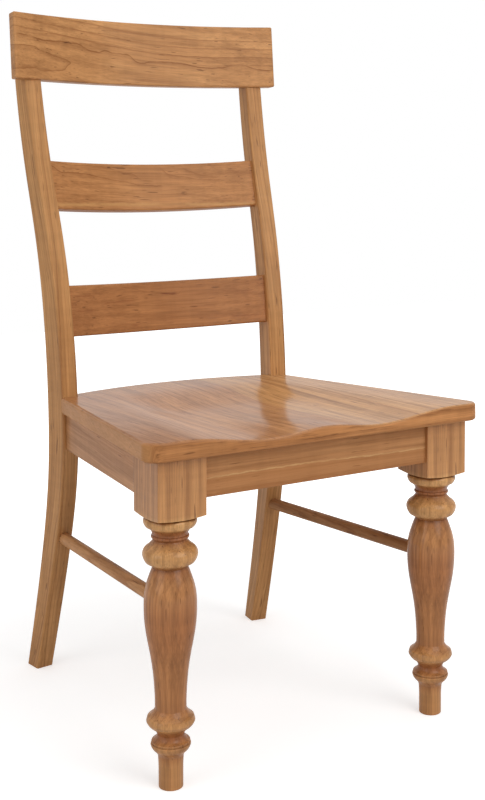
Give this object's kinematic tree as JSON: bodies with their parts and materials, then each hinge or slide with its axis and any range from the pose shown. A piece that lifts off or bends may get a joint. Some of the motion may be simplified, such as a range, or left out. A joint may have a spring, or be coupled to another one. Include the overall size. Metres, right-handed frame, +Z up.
{
  "type": "ladderback dining chair",
  "caption": "Wooden ladderback dining chair with a scooped plank seat, turned front legs, curved rear posts, slatted back and side stretchers.",
  "frame": {"origin": "middle of the bounding box's lower face, on the floor", "axes": "+Z up, the chair faces -Y, +X to the right as seen from the front"},
  "size_m": [0.5326, 0.5774, 1.0377],
  "materials": {
    "seat_plank": "satin clear lacquer on honey-brown wood",
    "turned_leg": "satin clear lacquer on honey-brown wood",
    "bent_post": "satin clear lacquer on honey-brown wood",
    "seat_apron": "satin clear lacquer on honey-brown wood",
    "back_rail": "satin clear lacquer on honey-brown wood",
    "stretcher_dowel": "satin clear lacquer on honey-brown wood",
    "corner_block": "bare sanded wood",
    "glue_dowel": "bare fluted beech",
    "plug_wood": "satin clear lacquer on honey-brown wood",
    "screw_steel": "zinc plated"
  },
  "bodies": {
    "root": {"seat_board_1": "seat_plank", "seat_board_2": "seat_plank", "seat_board_3": "seat_plank", "seat_board_4": "seat_plank", "seat_board_5": "seat_plank", "front_leg_left": "turned_leg", "front_leg_right": "turned_leg", "rear_post_left": "bent_post", "rear_post_right": "bent_post", "apron_front": "seat_apron", "apron_rear": "seat_apron", "apron_left": "seat_apron", "apron_right": "seat_apron", "crest_rail": "back_rail", "slat_upper": "back_rail", "slat_lower": "back_rail", "stretcher_left": "stretcher_dowel", "stretcher_right": "stretcher_dowel", "corner_block_front_left": "corner_block", "corner_block_front_right": "corner_block", "corner_block_rear_left": "corner_block", "corner_block_rear_right": "corner_block", "apron_dowels": "glue_dowel", "crest_plugs": "plug_wood", "corner_block_screws": "screw_steel", "seat_screws": "screw_steel", "crest_screws": "screw_steel"}
  },
  "joints": []
}
